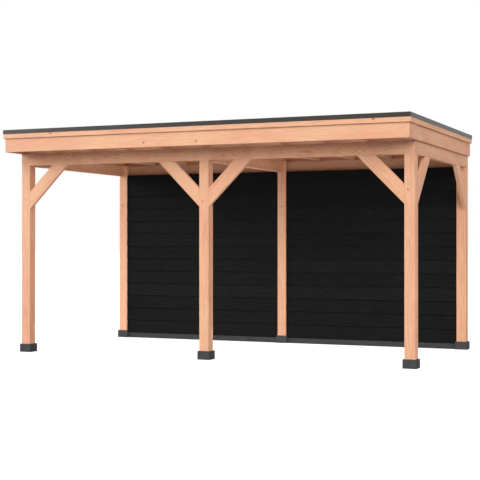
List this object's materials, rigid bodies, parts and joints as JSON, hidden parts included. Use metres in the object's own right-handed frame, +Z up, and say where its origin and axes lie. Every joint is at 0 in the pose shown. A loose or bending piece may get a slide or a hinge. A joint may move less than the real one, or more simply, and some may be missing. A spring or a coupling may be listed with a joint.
{
  "type": "garden canopy",
  "caption": "Flat-roofed timber garden canopy on posts, open at the front and sides, with a black lapped-board back wall, mitred braces and a deep stepped fascia.",
  "frame": {"origin": "on the ground, under the middle of the roof's outline", "axes": "+X to the right along the open front, +Y from the front to the back wall, +Z up"},
  "size_m": [5.088, 2.963, 2.722],
  "materials": {
    "timber": "planed softwood with a warm clear oil",
    "roof_timber": "planed softwood in shade",
    "stained_boards": "sawn boards with an opaque black stain",
    "concrete": "cast concrete dyed anthracite",
    "roofing_sheet": "black rubber roofing sheet",
    "edge_trim": "aluminium powder-coated in satin anthracite"
  },
  "bodies": {
    "root": {"foot_front_left": "concrete", "foot_front_middle": "concrete", "foot_front_right": "concrete", "foot_back_left": "concrete", "foot_back_middle": "concrete", "foot_back_right": "concrete", "post_front_left": "timber", "post_front_middle": "timber", "post_front_right": "timber", "post_back_left": "timber", "post_back_middle": "timber", "post_back_right": "timber", "beam_front": "timber", "beam_back": "timber", "beam_left": "timber", "beam_middle": "timber", "beam_right": "timber", "brace_front_left": "timber", "brace_middle_left": "timber", "brace_middle_right": "timber", "brace_front_right": "timber", "brace_side_front": "timber", "brace_side_back": "timber", "rafters": "roof_timber", "roof_deck": "roof_timber", "roof_membrane": "roofing_sheet", "fascia_front": "timber", "fascia_back": "timber", "fascia_left": "timber", "fascia_right": "timber", "strip_front": "timber", "strip_back": "timber", "strip_left": "timber", "strip_right": "timber", "trim_front": "edge_trim", "trim_back": "edge_trim", "trim_left": "edge_trim", "trim_right": "edge_trim", "plinth_left": "concrete", "plinth_right": "concrete", "wall_frame": "roof_timber", "wall_inner_left": "stained_boards", "wall_inner_right": "stained_boards", "wall_outer_left": "stained_boards", "wall_outer_right": "stained_boards"}
  },
  "joints": []
}
